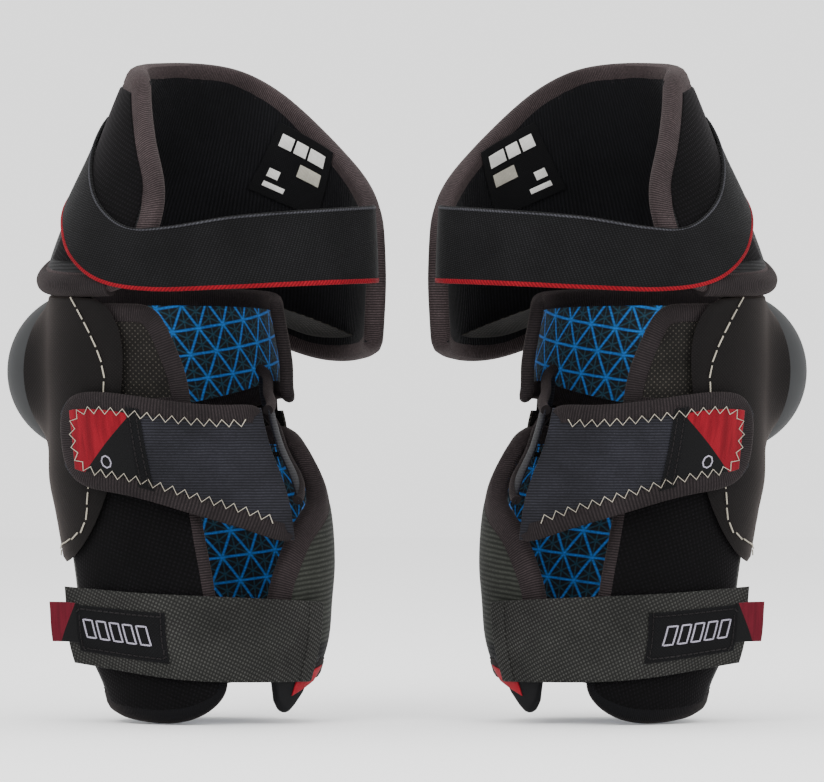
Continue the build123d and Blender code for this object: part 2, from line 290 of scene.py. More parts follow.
def panel_slab(panel, low, high, margin=0.0, count=(60, 20), soft=1.5, crown=0.0, part=None, quilt=None):
    """Slab over a panel, or over a part of it given as two ranges of shares."""
    inset = panel.inset(margin)

    def place(u, v):
        if part:
            (a, b), (c, d) = part
            return a + u * (b - a), c + v * (d - c)
        return inset(u, v)
    wide = (part[0][1] - part[0][0]) if part else 1
    high_share = (part[1][1] - part[1][0]) if part else 1
    return slab(lambda u, v, off: panel.spot(*place(u, v), off),
                (panel.width * wide, panel.tall(place(0.5, 0.5)[0]) * high_share), low, high, count, soft,
                crown, lambda u, v: panel.flat(*place(u, v)), quilt)


print("a slab has a rounded rim", spread(3, 0.1))

# %% [markdown]
# ## Cords and folded tape
# Raw edges are wrapped in knitted tape: folded over, it shows on both faces and is round
# at the edge. It could be a bevelled curve, but a curve twists on a bent surface. Here the path runs
# in the flat cloth, its corners are eased by averaging, and each cross-section is laid back
# onto the arm, so the tape always lies square on its panel.

# %% Tubes and tapes
def tube(points, radius, sides=8, closed=False, squash=(1, 1)):
    """Round cord along points."""
    rings, run = [], [0.0]
    count = len(points)
    up_hint = Vector((0.1, -1, 0.2)).normalized()
    for i in range(count):
        a = Vector(points[(i - 1) % count] if closed or i else points[0])
        b = Vector(points[(i + 1) % count] if closed or i < count - 1 else points[-1])
        along = (b - a).normalized()
        side = along.cross(up_hint).normalized()
        up = side.cross(along)
        centre = Vector(points[i])
        rings.append([tuple(centre + side * (radius * squash[0] * math.cos(math.tau * k / sides))
                            + up * (radius * squash[1] * math.sin(math.tau * k / sides)))
                      for k in range(sides)])
        run.append(run[-1] + (Vector(points[(i + 1) % count]) - centre).length)
    turn = math.tau * radius / 1000
    return skin(rings, lambda i, j: (run[i] / 1000, turn * j / sides),
                lambda i, j: (i / count, j / sides), closed, cap="fan")


def eased(loop, spacing, rounds):
    """Closed path resampled evenly, its corners eased by averaging."""
    lengths = [(loop[(i + 1) % len(loop)] - p).length for i, p in enumerate(loop)]
    count = round(sum(lengths) / spacing)
    step, path, i, gone = sum(lengths) / count, [], 0, 0.0
    for k in range(count):
        while gone + lengths[i] < k * step - 1e-9:
            gone += lengths[i]
            i += 1
        share = (k * step - gone) / max(lengths[i], 1e-9)
        path.append(loop[i].lerp(loop[(i + 1) % len(loop)], share))
    for _ in range(rounds):
        path = [(path[k - 1] + path[k] * 2 + path[(k + 1) % count]) / 4 for k in range(count)]
    return path


def outline(panel, rounds, spacing=2.5):
    """The panel's edge laid flat, with eased corners, and the direction inwards at each point."""
    steps = [k / 80 for k in range(80)]
    shares = ([(s, 0) for s in steps] + [(1, s) for s in steps] + [(1 - s, 1) for s in steps]
              + [(0, 1 - s) for s in steps])
    path = eased([Vector(panel.flat(u, v)) * 1000 for u, v in shares], spacing, rounds)
    area = sum(a.x * b.y - b.x * a.y for a, b in zip(path, path[1:] + path[:1]))
    turn = 1 if area > 0 else -1
    inward = []
    for k in range(len(path)):
        along = (path[(k + 1) % len(path)] - path[k - 1]).normalized()
        inward.append(Vector((-along.y, along.x)) * turn)
    return path, inward


def on_arm(panel, flat_point, off):
    return arm_point(panel.arm, flat_point.y, math.degrees(flat_point.x / panel.reach), off)


def kept_run(panel, path, keep):
    """Indices, in order, of the one run of a closed path whose angles keep() picks out."""
    kept = [k for k, p in enumerate(path) if keep(math.degrees(p.x / panel.reach))]
    gap = next((i for i in range(len(kept)) if kept[i] - kept[i - 1] not in (1, 1 - len(path))), 0)
    return kept[gap:] + kept[:gap]


def edge_tape(panel, low, high, reach, rounds, proud=0.9, seam=0.35, keep=None):
    """Tape folded over a panel's edge, or over the part of it that keep(angle) picks out."""
    path, inward = outline(panel, rounds)
    if keep:
        run = kept_run(panel, path, keep)
        path, inward = ([row[k] for k in run] for row in (path, inward))
    middle, half = (low + high) / 2, (high - low) / 2 + proud
    fold = [(reach, 0.8), (reach - 0.5, 0.93), (reach - 1.6, 0.95 - seam / half), (reach - 2.6, 0.97),
            (4.5, 1.0), (1.9, 0.86), (0.5, 0.5), (-0.1, 0.0), (0.5, -0.5), (1.9, -0.86), (4.5, -1.0),
            (reach - 2.6, -0.97), (reach - 1.6, seam / half - 0.95), (reach - 0.5, -0.93), (reach, -0.8)]
    across = [0.0]
    for a, b in zip(fold, fold[1:] + fold[:1]):
        across.append(across[-1] + math.hypot(a[0] - b[0], (a[1] - b[1]) * half))
    rings = [[on_arm(panel, p + n * d, middle + k * half) for d, k in fold] for p, n in zip(path, inward)]
    return skin(rings, lambda i, j: (i * 0.0025, across[j] / 1000),
                lambda i, j: (i / len(path), j / len(fold)), closed=not keep, cap="fan")


print("tape outline points:", len(outline(SLEEVE, 12)[0]))

# %% [markdown]
# ## From skin to objects
# Both pads come from the same skin: the left one is moved to its place, and the right one is its
# mirror image with every face turned round, so that no face points inwards. Each object is parented
# to the body of the frame it moves with, or baked in place, and the CAD nodes it stands for are hidden.

# %% Pair of objects
PAD_OFFSET = 140.0
SIDES = (("left", 1), ("right", -1))


def on_pad(points, sign):
    """Points in metres on the left pad, or mirrored onto the right one."""
    return [((x - PAD_OFFSET) * sign / 1000, y / 1000, z / 1000) for x, y, z in points]


def mesh_object(name, points, faces, flat=None, share=None, material=None, crease=50):
    mesh = bpy.data.meshes.new(name)
    mesh.from_pydata(points, [], faces)
    for title, corners in (("metres", flat), ("share", share)):
        if corners:
            layer = mesh.uv_layers.new(name=title)
            layer.data.foreach_set("uv", [c for face in corners for corner in face for c in corner])
    mesh.shade_smooth()
    mesh.set_sharp_from_angle(angle=math.radians(crease))
    obj = bpy.data.objects.new(name, mesh)
    bpy.context.scene.collection.objects.link(obj)
    if material:
        mesh.materials.append(material)
    return obj


def attach(obj, side, body, slot=None, stands_for=(), fill=None, bend=None):
    """Parent the object to the body it moves with, or bake it in place when a bend is given; hide the CAD
    nodes it stands for.
    """
    if bend:
        other, start, end = bend
        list(on_pad((start, end), dict(SIDES)[side]))
        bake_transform(obj)
    else:
        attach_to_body(obj, f"{side}_{body}")
    if stands_for:
        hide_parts(*[f"{side}_{node}" for node in stands_for])


def pair(name, made, material, body, slot=None, stands_for=(), crease=50, **facts):
    """The left and the right object of one skin."""
    for side, sign in SIDES:
        turned = [[f[::sign] for f in group] for group in (made.faces, made.flat, made.share)]
        obj = mesh_object(f"{side}_{name}", on_pad(made.points, sign), *turned, material, crease)
        attach(obj, side, body, slot, stands_for, **facts)
    print(name, "-", len(made.faces), "faces a side")


# %% [markdown]
# ## Nodes for materials
# Colours are picked as the eye sees them, in hex, but the shader works in linear light, so one
# function converts. Another adds a node with its settings and links; every material is built
# with it, which keeps the recipes short.

# %% Colour and node helpers
def ink(hex_colour):
    """Linear RGBA of an sRGB hex colour."""
    parts = [int(hex_colour[k:k + 2], 16) / 255 for k in (1, 3, 5)]
    return tuple(c / 12.92 if c <= 0.04045 else ((c + 0.055) / 1.055) ** 2.4 for c in parts) + (1.0,)


def feed(node, sockets):
    """Fill a node's inputs with values or with other nodes' outputs."""
    for socket, value in sockets.items():
        if isinstance(value, bpy.types.NodeSocket):
            node.id_data.links.new(value, node.inputs[socket])
        else:
            node.inputs[socket].default_value = value


def add(tree, kind, sockets=None, **settings):
    """A node with its settings and its inputs filled."""
    node = tree.nodes.new(kind)
    for key, value in settings.items():
        setattr(node, key, value)
    feed(node, sockets or {})
    return node


def maths(tree, operation, *values):
    return add(tree, "ShaderNodeMath", dict(enumerate(values)), operation=operation).outputs[0]


def mix(tree, factor, low, high):
    return add(tree, "ShaderNodeMix", {0: factor, 6: low, 7: high}, data_type="RGBA").outputs[2]


def remap(tree, value, start, end, low=0.0, high=1.0, kind="LINEAR"):
    return add(tree, "ShaderNodeMapRange", {"Value": value, "From Min": start, "From Max": end,
               "To Min": low, "To Max": high}, interpolation_type=kind).outputs[0]


def noise(tree, place, scale, detail, roughness=0.5):
    return add(tree, "ShaderNodeTexNoise", {"Vector": place, "Scale": scale, "Detail": detail,
               "Roughness": roughness}).outputs["Fac"]


def shaded(tree, colour, value):
    return add(tree, "ShaderNodeHueSaturation", {"Color": colour, "Value": value}).outputs["Color"]


def new_material(name):
    material = bpy.data.materials.new(name)
    material.use_nodes = True
    print("material", name)
    return material, material.node_tree


def surface(tree, colour, height, strength, depth, sockets):
    """Colour, bump of a depth in millimetres, and plain values for the material's shader."""
    bump = add(tree, "ShaderNodeBump", {"Height": height, "Strength": strength, "Distance": depth / 1000})
    feed(tree.nodes["Principled BSDF"], {"Base Color": colour, "Normal": bump.outputs["Normal"], **sockets})


print("mid grey", ink("#808080")[0])

# %% [markdown]
# ## Patterns of cloth
# Cloth is told apart by how its threads repeat. Ribs are one wave, a plain weave is two waves
# multiplied, and a spacer mesh is a grid of dots. Their pitch is given in millimetres of real
# cloth. Anything finer than about 1 mm would vanish at this distance, so the finest threads are
# drawn about twice as coarse as they are.

# %% Pattern recipes
def cloth_coordinates(tree, turn=0.0, layer="metres"):
    """The cloth's own flat coordinates, turned by an angle in degrees."""
    flat = add(tree, "ShaderNodeUVMap", uv_map=layer)
    return add(tree, "ShaderNodeMapping", {"Vector": flat.outputs["UV"],
               "Rotation": (0, 0, math.radians(turn))}).outputs["Vector"]


def ribs(tree, pitch, turn=0.0, wobble=0.6):
    """Rounded ribs of the given pitch in millimetres; a wave texture's period is 0.314 over its scale."""
    wave = add(tree, "ShaderNodeTexWave", {"Vector": cloth_coordinates(tree, turn),
               "Scale": 314.16 / pitch, "Distortion": wobble, "Detail": 1.0, "Detail Scale": 0.6},
               bands_direction="X", wave_profile="SIN")
    return wave.outputs["Fac"]


def weave(tree, across, along, turn=0.0):
    """Threads going over and under: two ribs multiplied."""
    return maths(tree, "MULTIPLY", ribs(tree, across, turn, 0.3), ribs(tree, along, turn + 90, 0.3))


def dots(tree, pitch, size=0.35, turn=45.0):
    """Round dots in rows, as the knots of a spacer mesh."""
    return remap(tree, weave(tree, pitch, pitch, turn), 1 - size, 1.0, kind="SMOOTHSTEP")


def cloth(name, dark, light, pattern, rough=0.9, sheen=0.06, sheen_tint="#ffffff", raised=0.5, worn=0.35,
          dark_below=None):
    """Cloth with dark gaps, light raised threads and uneven fading; it is black below a given height."""
    material, tree = new_material(name)
    recipe, *measures = pattern
    place = add(tree, "ShaderNodeTexCoord").outputs["Object"]
    threads = maths(tree, "MULTIPLY_ADD", recipe(tree, *measures), noise(tree, place, 900.0, 2.0), 0.1)
    tone = remap(tree, noise(tree, place, 28.0, 4.0, 0.6), 0.3, 0.75, 1 - worn, 1 + worn * 0.6)
    colour = shaded(tree, mix(tree, threads, ink(dark), ink(light)), tone)
    if dark_below is not None:
        height = add(tree, "ShaderNodeSeparateXYZ", {"Vector": place}).outputs["Z"]
        colour = mix(tree, remap(tree, height, dark_below - 0.004, dark_below), ink("#08080a"), colour)
    surface(tree, colour, threads, 0.7, raised,
            {"Roughness": rough, "Sheen Weight": sheen, "Sheen Roughness": 0.4,
             "Sheen Tint": ink(sheen_tint), "Specular IOR Level": 0.1})
    return material


# %% [markdown]
# ## The cloths of the pads
# The edges are bound in warm dark grey knitted tape; on the upper cuff it is painted lighter,
# as a painted highlight. The straps are ribbed elastic and coarse webbing, the wings are brushed
# loop velour that hooks can grip, and the sleeve is spacer mesh. Knit and velour
# are matt with a soft sheen at grazing light, which is set on the shader itself.

# %% Cloth materials
knit_tape = cloth("knitted_polyester_tape", "#0f0d0e", "#2f292a", (ribs, 1.5), sheen=0.1,
                  sheen_tint="#b8a8a4")
# Lighter copy of the knitted tape for the upper cuff: its lighter threads are a painted highlight.
highlit_tape = cloth("painted_highlight_knitted_tape", "#0f0d0d", "#4d4243", (ribs, 1.5), sheen=0.12,
                   sheen_tint="#c8b8b6")
rib_knit = cloth("black_rib_knit", "#040405", "#151518", (ribs, 2.4, 0, 1.2), sheen=0.04, raised=0.7)
outer_knit = cloth("grey_ribbed_polyester", "#101011", "#2d2d2e", (ribs, 2.0, 90, 0.8), raised=0.6)
speckled_elastic = cloth("speckled_elastic", "#030303", "#242426", (weave, 1.6, 1.2, 12), sheen=0.04)
red_weave = cloth("red_woven_edge", "#4a050e", "#96101e", (ribs, 1.6, 30, 0.4), sheen=0.04)
grey_weave = cloth("grey_woven_edge", "#1a1a1c", "#4a4a50", (ribs, 1.6, 30, 0.4), sheen=0.05)
velour = cloth("black_loop_velour", "#020202", "#121013", (weave, 2.2, 2.4, 20), rough=1.0,
               sheen=0.12, sheen_tint="#8a8488", raised=0.5)
stretch_fabric = cloth("black_stretch_nylon", "#050404", "#151212", (weave, 1.4, 1.4, 45), rough=0.75,
                       sheen=0.16, sheen_tint="#a8948c", raised=0.2)
spacer_mesh = cloth("spacer_mesh", "#050506", "#49453f", (dots, 2.3, 0.6), sheen=0.04, raised=0.6,
                    worn=0.7)
ribbed_elastic = cloth("dark_ribbed_elastic", "#08080b", "#2a2a31", (ribs, 1.6, 90, 0.9), rough=0.7,
                       sheen=0.05, raised=0.35, worn=0.5)
webbing_weave = cloth("polypropylene_webbing", "#050505", "#4b4b48", (weave, 1.7, 2.1, 24), rough=0.75,
                      sheen=0.03, raised=0.9, worn=0.4)
wing_tape = cloth("dark_knitted_tape", "#0c0a0b", "#3a3233", (ribs, 1.5), sheen=0.1,
                  sheen_tint="#b8a8a4", dark_below=-0.168)
wing_mesh = cloth("ribbed_outer_mesh", "#131412", "#3a3c37", (ribs, 2.8, 84, 0.7), raised=0.8,
                  dark_below=-0.163)
hook_tape = cloth("nylon_hook_tape", "#040404", "#1a1a1c", (dots, 1.8, 0.6, 0), raised=0.8)
patch_cloth = cloth("black_twill_patch", "#070708", "#131315", (weave, 1.3, 1.3, 45), raised=0.2)
thread_white = cloth("cream_polyester_thread", "#8f897c", "#d6cfc0", (ribs, 1.0, 0), sheen=0.1)
thread_dark = cloth("dark_polyester_thread", "#121011", "#383334", (ribs, 1.0, 0), sheen=0.1)
mark_print = cloth("grey_woven_mark", "#6f6b78", "#b4b0bd", (ribs, 1.0, 0), sheen=0.05, raised=0.1)
label_white = cloth("white_printed_satin", "#b9b8b4", "#e4e3df", (ribs, 1.0, 0), sheen=0.05, raised=0.1)
label_grey = cloth("grey_printed_satin", "#8d8a80", "#b7b3a6", (ribs, 1.0, 0), sheen=0.05, raised=0.1)

# %% [markdown]
# ## The printed lining
# The lining is a black knit printed with bright blue lines that meet in six-pointed stars, with
# fine dim lines between them. An image would need a file; here three families of parallel
# lines, 60 degrees apart, cross at shared points, and three more at half the spacing run between
# them. A point's distance to the nearest line of a family is a dot product, folded by ping-pong.

# %% Printed lining
STAR_PITCH = 17.0       # millimetres from star to star


def line_families(tree, coordinates, spacing, first_turn):
    """Least distance to three families of lines, in millimetres."""
    away = []
    for k in range(3):
        turn = math.radians(first_turn + 60 * k)
        across = (1000 * math.cos(turn) / spacing, 1000 * math.sin(turn) / spacing, 0)
        dot = add(tree, "ShaderNodeVectorMath", {0: coordinates, 1: across}, operation="DOT_PRODUCT")
        away.append(maths(tree, "MULTIPLY", maths(tree, "PINGPONG", dot.outputs["Value"], 0.5), spacing))
    return maths(tree, "MINIMUM", maths(tree, "MINIMUM", away[0], away[1]), away[2])


def printed_knit(name, blue, teal):
    material, tree = new_material(name)
    flat = cloth_coordinates(tree, 8)
    bright = remap(tree, line_families(tree, flat, STAR_PITCH * 0.866, 90), 0.35, 1.0, 1.0, 0.0)
    dim = remap(tree, line_families(tree, flat, STAR_PITCH / 2, 0), 0.15, 0.7, 0.6, 0.0)
    lines = mix(tree, bright, mix(tree, dim, ink("#0c0d11"), ink(teal)), ink(blue))
    courses = ribs(tree, 1.8, 90, 0.4)
    tone = maths(tree, "MULTIPLY_ADD", remap(tree, courses, 0.0, 1.0, 0.72, 1.15),
                 noise(tree, flat, 700.0, 1.0), 0.35)
    surface(tree, shaded(tree, lines, tone), courses, 0.5, 0.4, {"Roughness": 0.85, "Sheen Weight": 0.15})
    return material


star_print = printed_knit("star_printed_knit", "#1c86e8", "#1a5f78")

# %% [markdown]
# ## Plastic and two-colour prints
# The cap is moulded polyethylene: its mould was finely etched, so it is matt dark grey with a
# soft, wide highlight. The strap's end print and the pull tab have two colours that meet on a
# slanting line; the line is drawn in the piece's own shares, so it keeps its place on the cloth.

# %% Plastic and prints
def moulded(name, colour, rough):
    """Plastic with an etched grain, rubbed smoother and lighter in places."""
    material, tree = new_material(name)
    place = add(tree, "ShaderNodeTexCoord").outputs["Object"]
    rubbed = noise(tree, place, 45.0, 5.0)
    surface(tree, shaded(tree, ink(colour), remap(tree, rubbed, 0.3, 0.7, 0.85, 1.15)),
            noise(tree, place, 1600.0, 2.0), 0.4, 0.05,
            {"Roughness": remap(tree, rubbed, 0.0, 1.0, rough - 0.06, rough + 0.08),
             "IOR": 1.5, "Specular IOR Level": 0.12})
    return material


def two_tone(name, first, second, slope, offset, streaks=0.35):
    """Twill in a first colour where the shares of the piece add up past a slanting line, else a second."""
    material = cloth(name, first, first, (weave, 1.4, 1.4, 45), raised=0.15, sheen=0.2)
    tree = material.node_tree
    share = add(tree, "ShaderNodeUVMap", uv_map="share").outputs["UV"]
    side = add(tree, "ShaderNodeVectorMath", {0: share, 1: (*slope, 0)}, operation="DOT_PRODUCT")
    past = maths(tree, "GREATER_THAN", side.outputs["Value"], offset)
    turned = add(tree, "ShaderNodeMapping", {"Vector": share, "Rotation": (0, 0, math.radians(-50)),
                 "Scale": (9, 1.2, 1)}).outputs["Vector"]
    tone = remap(tree, noise(tree, turned, 1.0, 3.0), 0.35, 0.65, 1 - streaks, 1.1)
    feed(tree.nodes["Principled BSDF"],
         {"Base Color": mix(tree, past, ink(second), shaded(tree, ink(first), tone))})
    return material


cap_plastic = moulded("etched_polyethylene", "#292a2b", 0.62)
flap_plastic = moulded("black_moulded_rubber", "#08080a", 0.6)
accent_plastic = moulded("red_moulded_plastic", "#7d0d1b", 0.5)
end_print = two_tone("red_printed_twill", "#6a0a17", "#0a0a0b", (1 / 0.82, 1.0), 1.0)
pull_print = two_tone("red_black_twill", "#4a0c18", "#0a0a0b", (1.0, 0.62), 0.66, streaks=0.2)

# %% [markdown]
# ## Upper cuff
# The upper cuff is foam between a black rib-knit lining and a grey outer cloth, bound all
# round. A cuff like this could be inflated with the cloth simulator, but it is a long thin band
# that would shorten as it swells; a slab with a rounded rim and a slight crown gives the
# same padded look and keeps the frame's size.

# %% Upper cuff
def cuff_quilt(u):
    """Shallow channels sewn down the foam."""
    return 0.9 * (abs(math.sin(math.pi * u * 7)) ** 0.5 - 0.55)


pair("upper_cuff_lining", panel_slab(BICEP, -10.4, -5.8, 4.5, (90, 26), 3.0,
     quilt=lambda u: -abs(cuff_quilt(u))), rib_knit, "bicep", "black_liner",
     ["bicep_liner", "bicep_foam"], fill=0.7)
pair("upper_cuff_outer", panel_slab(BICEP, -5.8, -0.3, 4.5, (90, 26), 3.0, 0.8), outer_knit, "bicep",
     "outer_fabric", ["bicep_cover", "bicep_insert"], fill=0.6)
# The upper cuff's binding uses the lighter tape, whose colour is a painted highlight.
pair("upper_cuff_tape", edge_tape(BICEP, -10.0, 0.0, 11.5, 34), highlit_tape, "bicep",
     "edge_binding", ["bicep_binding"])
pair("upper_wing_velour", panel_slab(BICEP, -0.2, 1.4, part=((0.80, 0.965), (0.13, 0.9)), count=(20, 20)),
     velour, "bicep", "loop_velour", ["bicep_loop_patch"])

# %% [markdown]
# ## Rolled edge of the upper wing
# The free wing of the upper cuff ends below in a fat roll, a cord of foam inside the tape. A tube
# that follows the lower edge makes it, and it thins out where the roll runs into the cuff.

# %% Rolled edge
roll_path = []
for k in range(31):
    angle, height = BICEP.place(0.66 + 0.31 * k / 30, 0.0)
    roll_path.append(arm_point(UPPER_ARM, height + 2 + 3 * k / 30, angle, -1.5 - 3 * k / 30))
pair("upper_wing_roll", tube(roll_path, 6.8, 14), knit_tape, "bicep", "edge_binding")

# %% [markdown]
# ## Sleeve
# The sleeve round the elbow joint is thinner: spacer mesh outside and the printed knit inside.
# Two slabs share the wall, so each face shows its own cloth.

# %% Sleeve
pair("sleeve_spacer", panel_slab(SLEEVE, -4.0, 0.0, 4.5, (80, 20), 2.0), spacer_mesh, "elbow",
     "spacer_mesh", ["sleeve_mesh"])
pair("sleeve_lining", panel_slab(SLEEVE, -6.2, -4.0, 4.5, (80, 20), 1.5), star_print, "elbow",
     "printed_liner", ["sleeve_liner"])
pair("sleeve_tape", edge_tape(SLEEVE, -6.0, 0.0, 10.5, 12), knit_tape, "elbow",
     "edge_binding", ["sleeve_binding"])

# %% [markdown]
# ## Forearm cuff
# The forearm cuff is built like the upper one, but its lining is the printed knit and its outer
# cloth a coarse ribbed mesh. Its wide wing of black velour takes the hooks of two straps.

# %% Forearm cuff
pair("fore_cuff_lining", panel_slab(FOREARM, -10.3, -5.8, 4.5, (90, 30), 3.0,
     quilt=lambda u: -0.8 * abs(cuff_quilt(u))), star_print, "forearm",
     "printed_liner", ["forearm_liner", "forearm_foam"], fill=0.7)
pair("fore_cuff_outer", panel_slab(FOREARM, -5.8, -0.3, 4.5, (90, 30), 3.0, 0.8), wing_mesh, "forearm",
     "ribbed_fabric", ["forearm_cover", "forearm_shell"], fill=0.6)
pair("fore_cuff_tape", edge_tape(FOREARM, -10.0, 0.0, 13.0, 14), wing_tape, "forearm",
     "edge_binding", ["forearm_binding"])
pair("fore_wing_velour", panel_slab(FOREARM, -0.2, 1.3, part=((0.755, 0.985), (0.05, 0.965)), count=(30, 30)),
     velour, "forearm", "loop_velour", ["forearm_loop_panel"])
pair("cuff_end_flap", panel_slab(END_FLAP, -6.4, 0.7, count=(20, 14), soft=3.4), flap_plastic, "forearm",
     "moulded_plastic", ["forearm_end_guard"])
accent = Panel(LOWER_ARM, LOWER_REACH, [(0, -38), (1, -36)], [(0, -18), (1, -10)],
               [(0, -195), (1, -187)], [(0, -183), (1, -178)], 24)
pair("cuff_end_accent", panel_slab(accent, 0.2, 1.7, count=(8, 5), soft=0.8), accent_plastic, "forearm",
     "accent_plastic")

# %% [markdown]
# ## Elbow cap
# The cap is a dome: part of a ball, moulded with shallow rays that stiffen it. Rings of
# points round the ball's own axis give even faces at the tip and a clean rim, which a cut
# sphere from the menu wouldn't.

# %% Elbow cap
CAP_CENTRE = Vector((-47.0, 35.5, -8.0))
CAP_BALL = 47.4
CAP_AXIS = Vector((math.cos(math.radians(136)), math.sin(math.radians(136)), 0.0))
CAP_SIDE = Vector((-CAP_AXIS.y, CAP_AXIS.x, 0.0))


def on_ball(radius, tilt, turn):
    """Point of a ball round the cap's centre, tilted away from its axis."""
    out = CAP_SIDE * math.cos(turn) + Vector((0, 0, 1)) * math.sin(turn)
    return tuple(CAP_CENTRE + CAP_AXIS * radius * math.cos(tilt) + out * radius * math.sin(tilt))


def cap_skin():
    turns, rings = 144, []
    widest = math.acos(-1.5 / CAP_BALL)
    steps = [max(0.002, k / 60) for k in range(61)]
    for k in range(turns):
        turn = math.tau * k / turns
        ray = max(0.0, math.cos(turn * 6)) ** 2 * 1.3
        outer = [on_ball(CAP_BALL + ray * math.sin(math.pi * min(1, s * 2.2)) ** 2
                         - 1.1 * math.exp(-((s - 0.46) / 0.022) ** 2), widest * s, turn) for s in steps]
        inner = [on_ball(CAP_BALL - 3.2, widest * s, turn) for s in steps[::-1]]
        rings.append(outer + inner)
    return skin(rings, lambda i, j: (i * 0.003, j * 0.003), lambda i, j: (i / turns, j / 122), closed=True)


pair("elbow_shell", cap_skin(), cap_plastic, "elbow", "cap_plastic", ["elbow_cap", "cap_foam"])

# %% [markdown]
# ## Fabric round the cap
# Black stretch cloth holds the cap to the sleeve: it climbs the dome like a collar and runs
# out flat over the sleeve and down towards the forearm. It is one closed sheet between two rings:
# a circle on the dome and the outline of the panel. Near the dome each point leans
# towards the ring on the ball; further out it follows the arm.

# %% Cap fabric
def flat_place(point):
    """Flat coordinates of a point near the lower arm."""
    centre, half, depth, middle = hole(LOWER_ARM, point[2])
    angle = math.atan2((point[1] - middle) / depth, (point[0] - centre) / half)
    return Vector((LOWER_REACH * (angle % math.tau), point[2]))


def collar_skin():
    turns, steps = 120, 22
    edge, _ = outline(COVER, 10)
    middle = flat_place(CAP_CENTRE + CAP_AXIS * 40)
    tilt = math.acos(1.0 / (CAP_BALL + 0.8))
    rings, flats = [], []
    for k in range(turns):
        start = Vector(on_ball(CAP_BALL + 0.8, tilt, math.tau * k / turns))
        near = flat_place(start)
        aim = (near - middle).normalized()
        reach = max(edge, key=lambda p: (p - middle).normalized().dot(aim))
        run = (reach - near).length
        lift = start - Vector(on_arm(COVER, near, 4.6))
        outer, inner, places = [], [], []
        for j in range(steps + 1):
            spot = near.lerp(reach, j / steps)
            lean = max(0.0, 1 - run * j / steps / min(20, run * 0.9)) ** 2
            rim = math.sqrt(max(0.0, 1 - (1 - min(run * (1 - j / steps) / 2.5, 1)) ** 2))
            top = Vector(on_arm(COVER, spot, 4.6 + 1.4 * rim)) + lift * lean
            base = Vector(on_arm(COVER, spot, 4.4 - 1.6 * rim * (1 - lean))) + lift * lean * 0.985
            outer.append(tuple(top))
            inner.append(tuple(base))
            places.append(spot / 1000)
        rings.append(outer + inner[::-1])
        flats.append(places + places[::-1])
    return skin(rings, lambda i, j: tuple(flats[i % turns][j % (2 * steps + 2)]),
                lambda i, j: (i / turns, j / (2 * steps + 2)), closed=True)


pair("cap_collar", collar_skin(), stretch_fabric, "elbow", "stretch_fabric", ["cap_cover"])

# %% [markdown]
# ## Gussets
# Two thin mesh gussets join the three guards, one above and one below the sleeve. They are the
# only cloth that crosses a hinge, so they are baked in place and move with no body.

# %% Gussets
def gusset(start, end, low_ring, high_ring):
    """Thin cloth between two rings of points given by angle."""
    columns, rows, rings = 60, 8, []
    for i in range(columns + 1):
        angle = start + (end - start) * i / columns
        a, b = Vector(low_ring(angle)), Vector(high_ring(angle))
        out = Vector((math.cos(math.radians(angle)), math.sin(math.radians(angle)), 0))
        bulge = [a.lerp(b, j / rows) + out * 2.0 * math.sin(math.pi * j / rows) for j in range(rows + 1)]
        rings.append([tuple(p + out * 0.7) for p in bulge] + [tuple(p - out * 0.7) for p in bulge[::-1]])
    last = 2 * rows + 1
    return skin(rings, lambda i, j: (i * 0.0045, min(j, last - j) * 0.004),
                lambda i, j: (i / columns, j / last))


def cuff_edge(angle):
    """Point inside the upper cuff, a little above its lower edge."""
    u = min(max((angle + 4) / 248, 0), 1)
    return arm_point(UPPER_ARM, smooth(BICEP.bottom, u) + 14, angle, -11.2)


pair("upper_gusset", gusset(22, 226, lambda a: arm_point(LOWER_ARM, 31, a, -2.5),
     cuff_edge), spacer_mesh, "elbow",
     bend=("bicep", (14, -10, 32), (14, -10, 52)), slot="spacer_mesh")
pair("lower_gusset", gusset(24, 262, lambda a: arm_point(LOWER_ARM, -58, a, -11.4),
     lambda a: arm_point(LOWER_ARM, -31, a, -3.0)), spacer_mesh, "elbow",
     bend=("forearm", (14, -10, -36), (14, -10, -54)), slot="spacer_mesh")

# %% [markdown]
# ## Upper strap
# A wide elastic strap crosses the upper cuff and hooks onto its wing. Flat straps are modelled
# directly, as thin slabs with rounded rims, since a cloth simulation would rub them out.
# The lower edge is woven red, and the upper one has a thin grey line.

# %% Upper strap
def tucked(u, v, off):
    """The strap starts inside the cuff wall and comes out over its edge."""
    return BICEP_STRAP.spot(u, v, off - 6.0 * max(0.0, 1 - u / 0.12) ** 2)


def strap_slab(low, high, part=((0, 1), (0, 1)), count=(60, 12), soft=0.8, ripple=0.0):
    (a, b), (c, d) = part

    def spot(u, v, off):
        u, v = a + u * (b - a), c + v * (d - c)
        wave = ripple * math.sin(u * 19 + 2.2 * v) * math.sin(math.pi * min(1, max(0, u))) ** 2
        return tucked(u, v, off + wave)
    size = (BICEP_STRAP.width * (b - a), BICEP_STRAP.tall() * (d - c))
    return slab(spot, size, low, high, count, soft,
                flat=lambda u, v: BICEP_STRAP.flat(a + u * (b - a), c + v * (d - c)))


pair("upper_strap_elastic", strap_slab(2.0, 3.8, ripple=0.35), speckled_elastic, "bicep_strap",
     "elastic_webbing", ["bicep_strap_band"])
pair("upper_strap_red_edge", strap_slab(1.8, 4.3, ((0.02, 1), (0.0, 0.065)), (60, 3)), red_weave,
     "bicep_strap", "accent_plastic")
pair("upper_strap_grey_line", strap_slab(3.2, 4.1, ((0.02, 0.99), (0.955, 0.985)), (60, 2), 0.4), grey_weave,
     "bicep_strap", "elastic_webbing")
pair("upper_strap_hooks", strap_slab(1.5, 2.1, ((0.84, 0.985), (0.12, 0.88)), (12, 8)), hook_tape,
     "bicep_strap", "hook_tape", ["bicep_strap_hook"])

# %% [markdown]
# ## Elbow strap
# The middle strap is ribbed elastic bound with tape. Its round end carries a red and black
# print, and under it sits the square of hooks. The strap's root runs inside the forearm cuff
# and is sewn to it.

